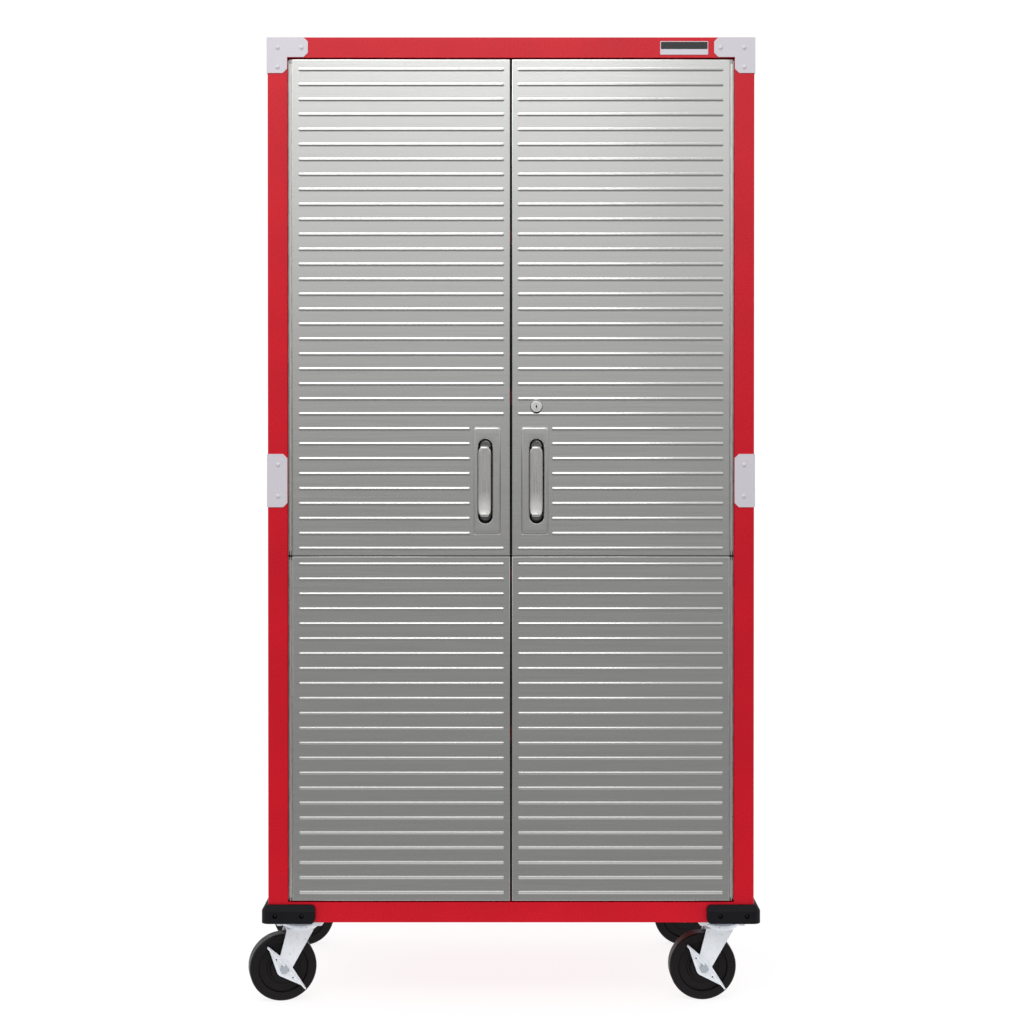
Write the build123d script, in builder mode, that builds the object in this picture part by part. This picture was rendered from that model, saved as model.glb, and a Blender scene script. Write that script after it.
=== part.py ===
# Rolling storage cabinet: a bolted sheet steel case on four swivel casters, with two tall
# ribbed stainless doors on continuous hinges. Front faces -Y, +Z is up, and the origin lies
# on the floor under the middle of the case. All lengths are millimetres.
import os
from math import cos, radians, sin

from build123d import *

os.makedirs("parts", exist_ok=True)

# Overall size of the case and its height above the floor
cabinet_width = 914.4
cabinet_depth = 457.2
overall_height = 1820.8
caster_height = 157.0

# Folded sheet of the case
sheet = 1.2
bend_radius = 1.8
post_width = 38.0
rail_height = 38.0
front_return = 62.0
rear_return = 40.0
roof_lip = 42.0
back_flange = 15.0

# Clearances
slip_gap = 0.15
running_gap = 0.05
pivot_gap = 0.3
screw_gap = 0.1

# Base channels that carry the casters
channel_width = 98.0
channel_wall = 3.0
channel_drop = 2.5

# Corner and joint plates
plate_thickness = 1.6
plate_chamfer = 8.0
corner_arm = 76.0
corner_drop = 67.0
corner_arm_width = 37.0
corner_side_arm = 60.0
joint_plate_height = 100.0
joint_plate_width = 37.0

# Screws that hold the plates and the bumpers
screw_radius = 2.4
screw_head_radius = 4.4
screw_head_height = 2.2
screw_length = 5.0
corner_screw_inset = 19.5
corner_screw_reach = 64.0
corner_screw_side_reach = 48.0
corner_screw_fall = 56.0
joint_screw_spacing = 59.0
bumper_screw_inset = 14.0
bumper_screw_reach = 64.0
bumper_screw_height = 14.0
bumper_screw_sink = 5.0

# Corner bumpers
bumper_thickness = 12.0
bumper_arm = 101.0
bumper_height = 34.0
bumper_break = 23.0
bumper_top_thickness = 5.0
bumper_end_radius = 8.5
bumper_edge_radius = 1.5
bumper_foot_radius = 5.0
bumper_break_radius = 6.0

# Shelves, their clips and the slots that take the clips
shelf_sheet = 1.0
shelf_height = 28.0
shelf_front_setback = 44.0
shelf_back_gap = 8.0
shelf_side_gap = 3.7
slot_pitch = 50.8
slot_first = 41.5
slot_width = 7.0
slot_height = 14.0
front_slot_setback = 53.0
rear_slot_setback = 28.0
lower_shelf_slots = (5, 11)
upper_shelf_slots = (2, 8)
clip_wall = 3.0
clip_width = 16.0
clip_height = 26.0
clip_ledge = 14.0
clip_ledge_thickness = 4.0
clip_tongue = 4.0

# Doors
door_thickness = 22.0
door_sheet = 1.0
door_outer_gap = 8.2
door_meeting_gap = 3.5
door_top_gap = 3.0
door_bottom_gap = 2.5
door_seam_drop = 141.0
door_seam_gap = 1.5
liner_sheet = 1.0

# Pressed ribs of the doors
rib_pitch = 28.1
rib_width = 7.0
rib_rise = 1.3
rib_outer_margin = 10.6
rib_inner_margin = 9.5
rib_handle_gap = 5.0
upper_rib_first = 18.3
lower_rib_first = 13.3

# Pull handles
handle_height = 988.0
handle_setback = 43.0
pad_width = 51.0
pad_height = 200.0
pad_rise = 3.0
pad_corner = 5.0
pad_edge = 1.2
pad_wall = 1.0
slot_offset = 3.5
pull_width = 26.0
pull_height = 158.0
cup_wall = 1.2
cup_depth = 16.0
cup_flange_border = 8.0
bar_width = 22.0
bar_thickness = 10.0
bar_half_height = 68.0
bar_rise = 22.0
bar_bend = 16.0
bar_shift = 1.5

# Door splice straps
splice_height = 60.0
splice_thickness = 2.0
splice_margin = 24.0

# Continuous hinges
hinge_leaf = 1.2
hinge_leaf_depth = 18.0
hinge_end_gap = 0.8
knuckle_radius = 2.2
hinge_setback = 8.0
knuckle_pitch = 25.4
knuckle_gap = 0.4
pin_radius = 1.2

# Cam lock in the right door
lock_setback = 46.0
lock_rise = 140.2
lock_neck_radius = 9.0
lock_head_radius = 10.4
lock_head_rise = 6.0
lock_head_thickness = 3.6
lock_head_edge = 1.0
plug_radius = 6.0
plug_rise = 0.6
keyhole_width = 1.6
keyhole_height = 7.0
keyhole_depth = 4.0
lock_nut_thickness = 3.0
lock_nut_radius = 12.5
cam_length = 60.0
cam_width = 16.0
cam_thickness = 2.0

# Slide bolts of the left door and the magnetic catches
bolt_radius = 4.0
bolt_setback = 30.0
bolt_depth = 8.0
bolt_length = 95.0
bolt_tip_gap = 4.0
bolt_knob_radius = 3.5
bolt_knob_length = 9.0
bolt_knob_inset = 8.0
guide_width = 18.0
guide_depth = 14.0
guide_height = 40.0
guide_setback = 30.0
catch_width = 40.0
catch_depth = 17.0
catch_height = 16.0
catch_place = 95.0
catch_edge = 1.5

# Casters
caster_spread = 400.5
caster_reach = 178.0
caster_plate_width = 92.0
caster_plate_depth = 84.0
caster_plate_thickness = 3.5
caster_plate_corner = 6.0
caster_bolt_spacing_x = 74.0
caster_bolt_spacing_y = 62.0
caster_bolt_radius = 4.0
caster_bolt_head_radius = 6.5
caster_bolt_head_height = 4.5
caster_nut_height = 6.0
race_radius = 26.0
race_foot_radius = 22.0
race_height = 5.0
race_gap = 0.5
kingpin_radius = 6.0
kingpin_head_radius = 10.0
kingpin_head_height = 3.0
fork_wall = 3.5
fork_inside = 40.0
fork_crown_radius = 36.0
fork_crown_foot = 27.0
fork_crown_height = 11.5
fork_crown_rim = 4.0
fork_top_front = 30.0
fork_top_back = 20.0
fork_foot_radius = 13.0
trail = 36.0
wheel_radius = 63.5
wheel_width = 32.0
wheel_bore = 8.0
hub_width = 37.0
hub_radius = 26.0
hub_ring_radius = 31.6
hub_ring_width = 27.0
web_width = 23.0
rim_inner_radius = 45.6
rim_lip = 1.6
rim_width = 31.0
shoulder = 4.5
axle_radius = 5.0
axle_head_radius = 8.5
axle_head_height = 5.0

# Brake levers of the front casters
lever_half_length = 54.0
lever_edge_offset = 6.5
lever_boss = 14.5
lever_thickness = 2.5
lever_flange = 10.0
lever_hole_radius = 1.6
lever_hole_offset = 1.5
lever_slope = 49.0
lever_hole_share = 0.22

# The way each caster trails in the rest pose, in degrees about +Z
caster_yaws = {"front_left": 14.0, "front_right": 2.0, "rear_left": 0.0, "rear_right": 0.0}

# Levels and planes worked out from the sizes above
half_width = cabinet_width / 2
half_depth = cabinet_depth / 2
front_y = -half_depth
back_y = half_depth
deck_height = caster_height + rail_height
roof_height = overall_height - rail_height
joint_height = (deck_height + roof_height) / 2
opening_half = half_width - post_width
door_outer = opening_half - door_outer_gap
door_inner = door_meeting_gap / 2
door_width = door_outer - door_inner
door_centre = (door_outer + door_inner) / 2
door_back_y = front_y + door_thickness
door_seam_height = handle_height - door_seam_drop
lock_height = handle_height + lock_rise
upper_low = door_seam_height + door_seam_gap / 2
upper_high = roof_height - door_top_gap
lower_low = deck_height + door_bottom_gap
lower_high = door_seam_height - door_seam_gap / 2
hinge_x = door_outer + hinge_leaf + slip_gap + knuckle_radius
handle_x = door_inner + handle_setback
pull_x = handle_x + slot_offset
lock_x = door_inner + lock_setback
bolt_x = door_inner + bolt_setback
bolt_y = door_back_y + bolt_depth
corner_radius = bend_radius + sheet / 2
axle_length = fork_inside + 2 * fork_wall
lever_stack = lever_thickness + 2 * pivot_gap

front_plane = Plane(origin=(0, front_y, 0), x_dir=(1, 0, 0), z_dir=(0, -1, 0))
side_plane = Plane(origin=(half_width, 0, 0), x_dir=(0, 1, 0), z_dir=(1, 0, 0))


def save(builder, name):
    """Label a finished piece and write it under its own name."""
    builder.part.label = name
    export_step(builder.part, f"parts/{name}.step")


def save_mirrored(builder, name, *planes):
    """Write the mirror image of a piece in one or more planes."""
    with BuildPart() as twin:
        add(builder.part)
        for plane in planes:
            mirror(about=plane, mode=Mode.REPLACE)
    save(twin, name)


def to_four_corners():
    """Repeat what stands at the right front corner at the other three corners."""
    mirror(about=Plane.YZ)
    mirror(about=Plane.XZ)


# Screw places at the right front corner, on the front face and on the side face
corner_row = overall_height - corner_screw_inset
corner_low = overall_height - corner_screw_fall
joint_rows = (joint_height - joint_screw_spacing / 2, joint_height + joint_screw_spacing / 2)
bumper_row = caster_height + bumper_screw_height
post_line = half_width - corner_screw_inset
side_line = front_y + corner_screw_inset

front_plate_places = [
    (post_line, corner_row),
    (half_width - corner_screw_reach, corner_row),
    (post_line, corner_low),
    (post_line, joint_rows[0]),
    (post_line, joint_rows[1]),
]
side_plate_places = [
    (side_line, corner_row),
    (front_y + corner_screw_side_reach, corner_row),
    (side_line, corner_low),
    (side_line, joint_rows[0]),
    (side_line, joint_rows[1]),
]
front_bumper_places = [
    (half_width - bumper_screw_inset, bumper_row),
    (half_width - bumper_screw_reach, bumper_row),
]
side_bumper_places = [
    (front_y + bumper_screw_inset, bumper_row),
    (front_y + bumper_screw_reach, bumper_row),
]
bumper_seat = bumper_thickness - bumper_screw_sink

# One dome headed screw, seated on the plane z = 0
with BuildPart() as screw:
    with BuildSketch(Plane.XZ):
        with BuildLine():
            TangentArc((0, screw_head_height), (screw_head_radius, 0), tangent=(1, 0))
            Polyline(
                (screw_head_radius, 0),
                (screw_radius, 0),
                (screw_radius, -screw_length),
                (0, -screw_length),
                (0, screw_head_height),
            )
        make_face()
    revolve(axis=Axis.Z)

# One longer screw for the bumpers
bumper_screw_length = bumper_seat + screw_length
with BuildPart() as bumper_screw:
    with BuildSketch(Plane.XZ):
        with BuildLine():
            TangentArc((0, screw_head_height), (screw_head_radius, 0), tangent=(1, 0))
            Polyline(
                (screw_head_radius, 0),
                (screw_radius, 0),
                (screw_radius, -bumper_screw_length),
                (0, -bumper_screw_length),
                (0, screw_head_height),
            )
        make_face()
    revolve(axis=Axis.Z)

# All screws of the frame
with BuildPart() as frame_screws:
    with Locations(front_plane.offset(plate_thickness)):
        with Locations(*front_plate_places):
            add(screw.part)
    with Locations(side_plane.offset(plate_thickness)):
        with Locations(*side_plate_places):
            add(screw.part)
    with Locations(front_plane.offset(bumper_seat)):
        with Locations(*front_bumper_places):
            add(bumper_screw.part)
    with Locations(side_plane.offset(bumper_seat)):
        with Locations(*side_bumper_places):
            add(bumper_screw.part)
    to_four_corners()
save(frame_screws, "frame_screws")

# The holes that those screws pass through
screw_hole_radius = screw_radius + screw_gap
with BuildPart() as screw_holes:
    with BuildSketch(front_plane.offset(bumper_thickness)):
        with Locations(*front_plate_places, *front_bumper_places):
            Circle(screw_hole_radius)
    extrude(amount=-bumper_thickness - screw_length)
    with BuildSketch(side_plane.offset(bumper_thickness)):
        with Locations(*side_plate_places, *side_bumper_places):
            Circle(screw_hole_radius)
    extrude(amount=-bumper_thickness - screw_length)
    to_four_corners()

# Base panel: a pan with its deck on top and its flanges turned down
inner_width = cabinet_width - 2 * sheet
inner_depth = cabinet_depth - 2 * sheet
with BuildPart() as base_panel:
    with BuildSketch(Plane.XY.offset(caster_height)):
        RectangleRounded(cabinet_width, cabinet_depth, corner_radius)
    extrude(amount=rail_height)
    with BuildSketch(Plane.XY.offset(caster_height)):
        RectangleRounded(inner_width, inner_depth, corner_radius - sheet)
    extrude(amount=rail_height - sheet, mode=Mode.SUBTRACT)
    with BuildSketch(Plane.XY.offset(deck_height)):
        with Locations((-bolt_x, bolt_y)):
            Circle(bolt_radius + pivot_gap)
    extrude(amount=-2 * sheet, mode=Mode.SUBTRACT)
    add(screw_holes.part, mode=Mode.SUBTRACT)
save(base_panel, "base_panel")

# Top panel: a pan turned over, whose front flange folds in as a lip behind the doors
with BuildPart() as top_panel:
    with BuildSketch(Plane.XY.offset(roof_height)):
        RectangleRounded(cabinet_width, cabinet_depth, corner_radius)
    extrude(amount=rail_height)
    with BuildSketch(Plane.XY.offset(roof_height)):
        RectangleRounded(inner_width, inner_depth, corner_radius - sheet)
    extrude(amount=rail_height - sheet, mode=Mode.SUBTRACT)
    with BuildSketch(Plane.XY.offset(roof_height)):
        with Locations((0, front_y + sheet)):
            Rectangle(2 * opening_half, roof_lip - sheet, align=(Align.CENTER, Align.MIN))
        with Locations((-bolt_x, bolt_y)):
            Circle(bolt_radius + pivot_gap, mode=Mode.SUBTRACT)
    extrude(amount=sheet)
    add(screw_holes.part, mode=Mode.SUBTRACT)
save(top_panel, "top_panel")

# Base channels: two heavy folded channels across the base, to which the casters bolt
bolt_places = [
    (x * caster_bolt_spacing_x / 2, y * caster_bolt_spacing_y / 2)
    for x in (-1, 1)
    for y in (-1, 1)
]
caster_places = {
    "front_left": (-caster_spread, -caster_reach),
    "front_right": (caster_spread, -caster_reach),
    "rear_left": (-caster_spread, caster_reach),
    "rear_right": (caster_spread, caster_reach),
}
channel_half = (channel_width - channel_wall) / 2
channel_low = caster_height - channel_drop
channel_floor = channel_low + channel_wall / 2
with BuildPart() as base_channels:
    for x in (-caster_spread, caster_spread):
        with BuildSketch(front_plane.offset(-sheet - screw_length)):
            with BuildLine():
                FilletPolyline(
                    (x - channel_half, deck_height - sheet),
                    (x - channel_half, channel_floor),
                    (x + channel_half, channel_floor),
                    (x + channel_half, deck_height - sheet),
                    radius=channel_wall,
                )
            trace(line_width=channel_wall)
        extrude(amount=2 * screw_length - inner_depth)
    with BuildSketch(Plane.XY.offset(channel_low)):
        for place in caster_places.values():
            with Locations(place):
                with Locations(*bolt_places):
                    Circle(caster_bolt_radius + screw_gap)
    extrude(amount=channel_wall, mode=Mode.SUBTRACT)
save(base_channels, "base_channels")


def side_panel(low, high):
    """Right side panel from low to high: one folded sheet with both posts and slotted returns."""
    out_x = half_width - sheet / 2
    in_x = opening_half + sheet / 2
    near_y = front_y + sheet / 2
    far_y = back_y - sheet / 2
    slot_count = int((high - low - slot_first - slot_height) / slot_pitch) + 1
    slot_rows = [low + slot_first + slot_pitch * row for row in range(slot_count)]
    slot_lines = (front_y + front_slot_setback, back_y - rear_slot_setback)
    with BuildPart() as panel:
        with BuildSketch(Plane.XY.offset(low)):
            with BuildLine():
                FilletPolyline(
                    (in_x, front_y + front_return),
                    (in_x, near_y),
                    (out_x, near_y),
                    (out_x, far_y),
                    (in_x, far_y),
                    (in_x, back_y - rear_return),
                    radius=bend_radius,
                )
            trace(line_width=sheet)
        extrude(amount=high - low)
        with BuildSketch(Plane.YZ.offset(opening_half)):
            with Locations(*[(line, row) for line in slot_lines for row in slot_rows]):
                Rectangle(slot_width, slot_height)
        extrude(amount=2 * sheet, mode=Mode.SUBTRACT)
        add(screw_holes.part, mode=Mode.SUBTRACT)
    return panel


lower_right_side = side_panel(deck_height, joint_height)
save(lower_right_side, "lower_right_side_panel")
save_mirrored(lower_right_side, "lower_left_side_panel", Plane.YZ)
upper_right_side = side_panel(joint_height, roof_height)
save(upper_right_side, "upper_right_side_panel")
save_mirrored(upper_right_side, "upper_left_side_panel", Plane.YZ)


def back_panel(low, high):
    """Back panel from low to high: a shallow pan between the rear posts."""
    width = 2 * (opening_half - slip_gap)
    height = high - low
    rear_plane = Plane(
        origin=(0, back_y, (low + high) / 2), x_dir=(-1, 0, 0), z_dir=(0, 1, 0)
    )
    with BuildPart() as panel:
        with BuildSketch(rear_plane):
            Rectangle(width, height)
        extrude(amount=-back_flange)
        with BuildSketch(rear_plane.offset(-back_flange)):
            Rectangle(width - 2 * sheet, height - 2 * sheet)
        extrude(amount=back_flange - sheet, mode=Mode.SUBTRACT)
    return panel


save(back_panel(deck_height, joint_height), "lower_back_panel")
save(back_panel(joint_height, roof_height), "upper_back_panel")

# Corner plates: folded plates round the top corners, an L on the front and on the side
corner_front_x = half_width - corner_arm
corner_back_y = front_y + corner_side_arm
with BuildPart() as corner_plates:
    with BuildSketch(front_plane):
        with BuildLine():
            Polyline(
                (half_width + plate_thickness, overall_height),
                (corner_front_x + plate_chamfer, overall_height),
                (corner_front_x, overall_height - plate_chamfer),
                (corner_front_x, overall_height - corner_arm_width + plate_chamfer),
                (corner_front_x + plate_chamfer, overall_height - corner_arm_width),
                (half_width - corner_arm_width, overall_height - corner_arm_width),
                (half_width - corner_arm_width, overall_height - corner_drop + plate_chamfer),
                (half_width - corner_arm_width + plate_chamfer, overall_height - corner_drop),
                (half_width + plate_thickness, overall_height - corner_drop),
                close=True,
            )
        make_face()
    extrude(amount=plate_thickness)
    with BuildSketch(side_plane):
        with BuildLine():
            Polyline(
                (front_y, overall_height),
                (corner_back_y - plate_chamfer, overall_height),
                (corner_back_y, overall_height - plate_chamfer),
                (corner_back_y, overall_height - corner_arm_width + plate_chamfer),
                (corner_back_y - plate_chamfer, overall_height - corner_arm_width),
                (front_y + corner_arm_width, overall_height - corner_arm_width),
                (front_y + corner_arm_width, overall_height - corner_drop + plate_chamfer),
                (front_y + corner_arm_width - plate_chamfer, overall_height - corner_drop),
                (front_y, overall_height - corner_drop),
                close=True,
            )
        make_face()
    extrude(amount=plate_thickness)
    fold = (half_width + plate_thickness, front_y - plate_thickness, overall_height)
    fillet(edges().filter_by(Axis.Z).sort_by_distance(fold)[0], radius=plate_thickness)
    add(screw_holes.part, mode=Mode.SUBTRACT)
    to_four_corners()
save(corner_plates, "corner_plates")

# Joint plates: folded plates round the posts where the upper and lower sides meet
joint_top = joint_height + joint_plate_height / 2
joint_low = joint_height - joint_plate_height / 2
with BuildPart() as joint_plates:
    with BuildSketch(front_plane):
        with BuildLine():
            Polyline(
                (half_width + plate_thickness, joint_top),
                (half_width - joint_plate_width + plate_chamfer, joint_top),
                (half_width - joint_plate_width, joint_top - plate_chamfer),
                (half_width - joint_plate_width, joint_low + plate_chamfer),
                (half_width - joint_plate_width + plate_chamfer, joint_low),
                (half_width + plate_thickness, joint_low),
                close=True,
            )
        make_face()
    extrude(amount=plate_thickness)
    with BuildSketch(side_plane):
        with BuildLine():
            Polyline(
                (front_y, joint_top),
                (front_y + joint_plate_width - plate_chamfer, joint_top),
                (front_y + joint_plate_width, joint_top - plate_chamfer),
                (front_y + joint_plate_width, joint_low + plate_chamfer),
                (front_y + joint_plate_width - plate_chamfer, joint_low),
                (front_y, joint_low),
                close=True,
            )
        make_face()
    extrude(amount=plate_thickness)
    fold = (half_width + plate_thickness, front_y - plate_thickness, joint_height)
    fillet(edges().filter_by(Axis.Z).sort_by_distance(fold)[0], radius=plate_thickness)
    add(screw_holes.part, mode=Mode.SUBTRACT)
    to_four_corners()
save(joint_plates, "joint_plates")

# Corner bumper: a moulded strip round each corner of the base, with screw wells in both arms
bumper_tip_x = half_width + bumper_thickness - bumper_arm
bumper_tip_y = front_y - bumper_thickness + bumper_arm


def arm_end_corners(plane, tip, inwards):
    """What is cut away to round the two corners at the end of a bumper arm."""
    middle = tip + inwards * bumper_end_radius
    low = caster_height
    high = caster_height + bumper_height
    with BuildPart() as corners:
        with BuildSketch(plane.offset(bumper_thickness)):
            with Locations((tip, low), (tip, high)):
                Rectangle(2 * bumper_end_radius, 2 * bumper_end_radius)
            with Locations((middle, low + bumper_end_radius), (middle, high - bumper_end_radius)):
                Circle(bumper_end_radius, mode=Mode.SUBTRACT)
        extrude(amount=-bumper_thickness)
    return corners


front_arm_corners = arm_end_corners(front_plane, bumper_tip_x, 1)
side_arm_corners = arm_end_corners(side_plane, bumper_tip_y, -1)
with BuildPart() as bumper:
    with BuildLine() as bumper_path:
        FilletPolyline(
            (bumper_tip_x, front_y, caster_height),
            (half_width, front_y, caster_height),
            (half_width, bumper_tip_y, caster_height),
            radius=corner_radius,
        )
    with BuildSketch(
        Plane(
            origin=(bumper_tip_x, front_y, caster_height), x_dir=(0, -1, 0), z_dir=(-1, 0, 0)
        )
    ) as bumper_profile:
        with BuildLine():
            Polyline(
                (0, 0),
                (bumper_thickness, 0),
                (bumper_thickness, bumper_break),
                (bumper_top_thickness, bumper_height),
                (0, bumper_height),
                close=True,
            )
        make_face()
        outer_corners = bumper_profile.vertices().sort_by(Axis.X)[2:].sort_by(Axis.Y)
        fillet(outer_corners[2], radius=bumper_edge_radius)
        fillet(outer_corners[1], radius=bumper_break_radius)
        fillet(outer_corners[0], radius=bumper_foot_radius)
    sweep()
    add(front_arm_corners.part, mode=Mode.SUBTRACT)
    add(side_arm_corners.part, mode=Mode.SUBTRACT)
    with BuildSketch(front_plane.offset(bumper_thickness)):
        with Locations(*front_bumper_places):
            Circle(screw_head_radius + screw_gap)
    extrude(amount=-bumper_screw_sink, mode=Mode.SUBTRACT)
    with BuildSketch(side_plane.offset(bumper_thickness)):
        with Locations(*side_bumper_places):
            Circle(screw_head_radius + screw_gap)
    extrude(amount=-bumper_screw_sink, mode=Mode.SUBTRACT)
    add(screw_holes.part, mode=Mode.SUBTRACT)
    to_four_corners()
save(bumper, "corner_bumpers")

# Shelves: folded pans that rest on four clips each
shelf_half = opening_half - shelf_side_gap
shelf_front = front_y + shelf_front_setback
shelf_back = back_y - shelf_back_gap
clip_rows = [deck_height + slot_first + slot_pitch * row for row in lower_shelf_slots]
clip_rows += [joint_height + slot_first + slot_pitch * row for row in upper_shelf_slots]
for number, row in enumerate(clip_rows, start=1):
    shelf_plane = Plane(origin=(0, (shelf_front + shelf_back) / 2, row))
    shelf_length = shelf_back - shelf_front
    with BuildPart() as shelf:
        with BuildSketch(shelf_plane):
            Rectangle(2 * shelf_half, shelf_length)
        extrude(amount=shelf_height)
        with BuildSketch(shelf_plane):
            Rectangle(2 * (shelf_half - shelf_sheet), shelf_length - 2 * shelf_sheet)
        extrude(amount=shelf_height - shelf_sheet, mode=Mode.SUBTRACT)
    save(shelf, f"shelf_{number}")

# Shelf clips: each hooks through a slot of a post and carries a shelf corner on its ledge
with BuildPart() as shelf_clips:
    for line in (front_y + front_slot_setback, back_y - rear_slot_setback):
        for row in clip_rows:
            with Locations((opening_half, line, row)):
                Box(
                    clip_wall,
                    clip_width,
                    clip_height,
                    align=(Align.MAX, Align.CENTER, Align.CENTER),
                )
                Box(
                    clip_tongue,
                    slot_width - 2 * slip_gap,
                    slot_height - 2 * slip_gap,
                    align=(Align.MIN, Align.CENTER, Align.CENTER),
                )
                Box(
                    clip_ledge,
                    clip_width,
                    clip_ledge_thickness,
                    align=(Align.MAX, Align.CENTER, Align.MAX),
                )
    mirror(about=Plane.YZ)
save(shelf_clips, "shelf_clips")

# Magnetic catches under the roof lip, behind the top of each door
with BuildPart() as magnetic_catches:
    for x in (-catch_place, catch_place):
        with Locations((x, door_back_y + pivot_gap, roof_height)):
            Box(
                catch_width,
                catch_depth,
                catch_height,
                align=(Align.CENTER, Align.MIN, Align.MAX),
            )
    fillet(edges().filter_by(Axis.Z), radius=catch_edge)
save(magnetic_catches, "magnetic_catches")


def knuckle_starts(low, high, first):
    """Lower ends of every second knuckle between low and high, from knuckle number first."""
    count = int((high - low) // knuckle_pitch)
    margin = (high - low - count * knuckle_pitch) / 2
    return [low + margin + knuckle_pitch * place for place in range(first, count, 2)]


def hinge_leaves(leaf_x, direction, first, setback):
    """Right hand hinge leaves against leaf_x, one to each door panel, with their knuckles."""
    web_x = hinge_x - direction * (knuckle_radius - hinge_leaf / 2)
    with BuildPart() as leaves:
        for low, high in ((upper_low, upper_high), (lower_low, lower_high)):
            leaf_low = low + hinge_end_gap
            leaf_high = high - hinge_end_gap
            with BuildSketch(Plane.XY.offset(leaf_low)):
                with Locations((leaf_x + direction * hinge_leaf / 2, front_y + setback)):
                    Rectangle(hinge_leaf, hinge_leaf_depth - setback, align=(Align.CENTER, Align.MIN))
            extrude(amount=leaf_high - leaf_low)
            starts = knuckle_starts(leaf_low, leaf_high, first)
            with BuildSketch(*[Plane.XY.offset(start) for start in starts]):
                with Locations((hinge_x, front_y)):
                    Circle(knuckle_radius)
                with Locations((web_x, front_y)):
                    Rectangle(hinge_leaf, setback + hinge_leaf, align=(Align.CENTER, Align.MIN))
                with Locations(((web_x + leaf_x) / 2, front_y + setback)):
                    Rectangle(abs(web_x - leaf_x), hinge_leaf, align=(Align.CENTER, Align.MIN))
                with Locations((hinge_x, front_y)):
                    Circle(pin_radius + running_gap, mode=Mode.SUBTRACT)
            extrude(amount=knuckle_pitch - knuckle_gap)
    return leaves


right_frame_leaves = hinge_leaves(opening_half, -1, 0, hinge_setback)
with BuildPart() as hinge_frame_leaves:
    add(right_frame_leaves.part)
    mirror(about=Plane.YZ)
save(hinge_frame_leaves, "hinge_frame_leaves")

right_hinge_leaves = hinge_leaves(door_outer, 1, 1, 0)
save(right_hinge_leaves, "right_hinge_leaves")
save_mirrored(right_hinge_leaves, "left_hinge_leaves", Plane.YZ)

with BuildPart() as hinge_pins:
    for low, high in ((upper_low, upper_high), (lower_low, lower_high)):
        with BuildSketch(Plane.XY.offset(low + hinge_end_gap)):
            with Locations((hinge_x, front_y)):
                Circle(pin_radius)
        extrude(amount=high - low - 2 * hinge_end_gap)
    mirror(about=Plane.YZ)
save(hinge_pins, "hinge_pins")

# Rib of a door: a round topped bead with round ends, along X on the door face
rib_radius = (rib_width**2 / 4 + rib_rise**2) / (2 * rib_rise)
rib_long = door_width - rib_outer_margin - rib_inner_margin - rib_width
rib_outer_end = door_outer - rib_outer_margin - rib_width / 2
rib_handle_end = handle_x + pad_width / 2 + rib_handle_gap + rib_width / 2
rib_short = rib_outer_end - rib_handle_end


def rib(length):
    """Rib of the given straight length, from its outer end inwards, with its foot at y = 0."""
    with BuildPart() as bead:
        with Locations((-length / 2, rib_radius - rib_rise, 0)):
            Cylinder(rib_radius, length, rotation=(0, 90, 0))
        with Locations((0, rib_radius - rib_rise, 0), (-length, rib_radius - rib_rise, 0)):
            Sphere(rib_radius)
        split(bisect_by=Plane.XZ, keep=Keep.TOP)
    return bead


long_rib = rib(rib_long)
short_rib = rib(rib_short)


def door_skin(low, high, rib_first, has_handle):
    """Right door skin from low to high: a stainless pan with ribs and, where asked, a handle pad."""
    face = front_plane
    height = high - low
    middle = (low + high) / 2
    rib_count = int((high - low - rib_first - rib_width) / rib_pitch) + 1
    rows = [high - rib_first - rib_pitch * row for row in range(rib_count)]
    beside = [row for row in rows if has_handle and abs(row - handle_height) < pad_height / 2]
    full = [row for row in rows if row not in beside]
    with BuildPart() as skin:
        with BuildSketch(face):
            with Locations((door_centre, middle)):
                Rectangle(door_width, height)
        extrude(amount=-door_thickness)
        with BuildSketch(face.offset(-door_sheet)):
            with Locations((door_centre, middle)):
                Rectangle(door_width - 2 * door_sheet, height - 2 * door_sheet)
        extrude(amount=-door_thickness, mode=Mode.SUBTRACT)
        with Locations(*[(rib_outer_end, front_y, row) for row in full]):
            add(long_rib.part)
        if has_handle:
            with Locations(*[(rib_outer_end, front_y, row) for row in beside]):
                add(short_rib.part)
            with BuildSketch(face):
                with Locations((handle_x, handle_height)):
                    RectangleRounded(pad_width, pad_height, pad_corner)
            extrude(amount=pad_rise)
            fillet(faces().sort_by(Axis.Y)[0].edges(), radius=pad_edge)
            with BuildSketch(face.offset(-door_sheet)):
                with Locations((handle_x, handle_height)):
                    RectangleRounded(
                        pad_width - 2 * pad_wall, pad_height - 2 * pad_wall, pad_corner - pad_wall
                    )
            extrude(amount=door_sheet + pad_rise - pad_wall, mode=Mode.SUBTRACT)
            with BuildSketch(face.offset(pad_rise)):
                with Locations((pull_x, handle_height)):
                    SlotOverall(pull_height, pull_width, rotation=90)
            extrude(amount=-2 * pad_wall, mode=Mode.SUBTRACT)
    return skin


def door_liner(low, high):
    """Flat inner sheet of a right door panel, seated inside the returns of its skin."""
    border = door_sheet + slip_gap
    with BuildPart() as liner:
        with BuildSketch(front_plane.offset(-door_thickness)):
            with Locations((door_centre, (low + high) / 2)):
                Rectangle(door_width - 2 * border, high - low - 2 * border)
        extrude(amount=liner_sheet)
    return liner


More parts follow.
